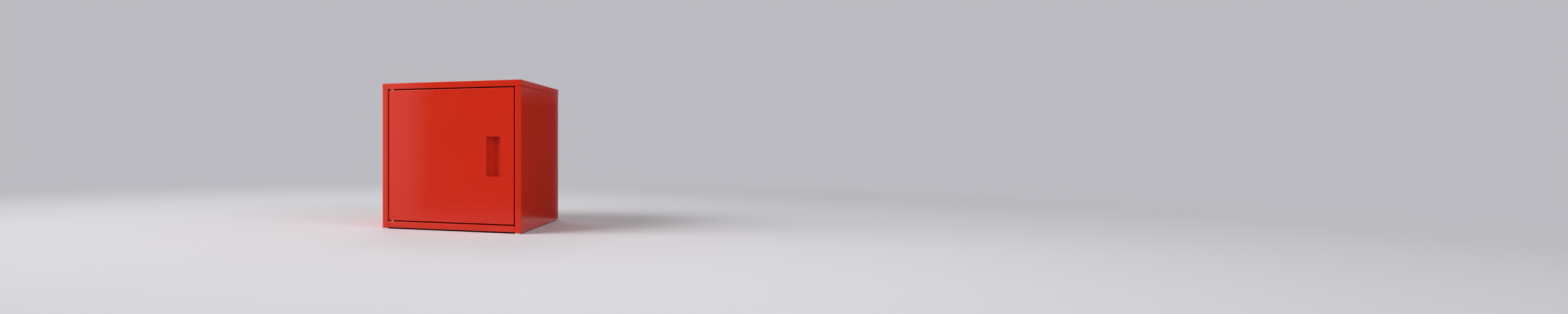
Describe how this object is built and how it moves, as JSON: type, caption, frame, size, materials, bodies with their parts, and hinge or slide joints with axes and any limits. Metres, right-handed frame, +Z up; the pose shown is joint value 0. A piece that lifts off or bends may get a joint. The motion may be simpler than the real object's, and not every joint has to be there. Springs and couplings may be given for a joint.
{
  "type": "box cabinet",
  "caption": "Cube-shaped folded sheet-steel cabinet with an overhanging lid, a flush inset door on corner pivots and a recessed finger handle.",
  "frame": {"origin": "on the ground, under the middle of the cabinet's box", "axes": "+Z up, the front with the door faces -Y, +X to the right as seen from the front; the door's hinge is on the left, at -X"},
  "size_m": [0.35, 0.35, 0.35],
  "materials": {
    "powder_coat": "smooth satin red powder coat on 0.8 mm sheet steel",
    "white_nylon": "moulded white nylon",
    "catch_plastic": "moulded off-white plastic",
    "rubber": "soft black rubber",
    "zinc_steel": "bright zinc plating",
    "magnet": "dark sintered ferrite"
  },
  "bodies": {
    "carcass": {"lid": "powder_coat", "left_side_panel": "powder_coat", "right_side_panel": "powder_coat", "bottom_tray": "powder_coat", "back_panel": "powder_coat", "catch_housing": "catch_plastic", "catch_magnet": "magnet", "lower_catch_screw": "zinc_steel", "upper_catch_screw": "zinc_steel", "lower_door_bumper": "rubber", "upper_door_bumper": "rubber", "front_left_foot": "white_nylon", "rear_left_foot": "white_nylon", "front_right_foot": "white_nylon", "rear_right_foot": "white_nylon", "front_left_rivet": "zinc_steel", "rear_left_rivet": "zinc_steel", "front_right_rivet": "zinc_steel", "rear_right_rivet": "zinc_steel", "front_left_lid_screw": "zinc_steel", "rear_left_lid_screw": "zinc_steel", "front_right_lid_screw": "zinc_steel", "rear_right_lid_screw": "zinc_steel", "front_left_lid_nut": "zinc_steel", "rear_left_lid_nut": "zinc_steel", "front_right_lid_nut": "zinc_steel", "rear_right_lid_nut": "zinc_steel"},
    "door": {"door_pan": "powder_coat", "handle_cup": "powder_coat", "lower_pivot_pin": "white_nylon", "upper_pivot_pin": "white_nylon"}
  },
  "joints": [
    {"name": "door_hinge", "type": "hinge", "parent": "carcass", "child": "door", "pos_m": [-0.1496, -0.1695, 0.1767], "axis": [0, 0, -1], "range_deg": [0, 120]}
  ]
}
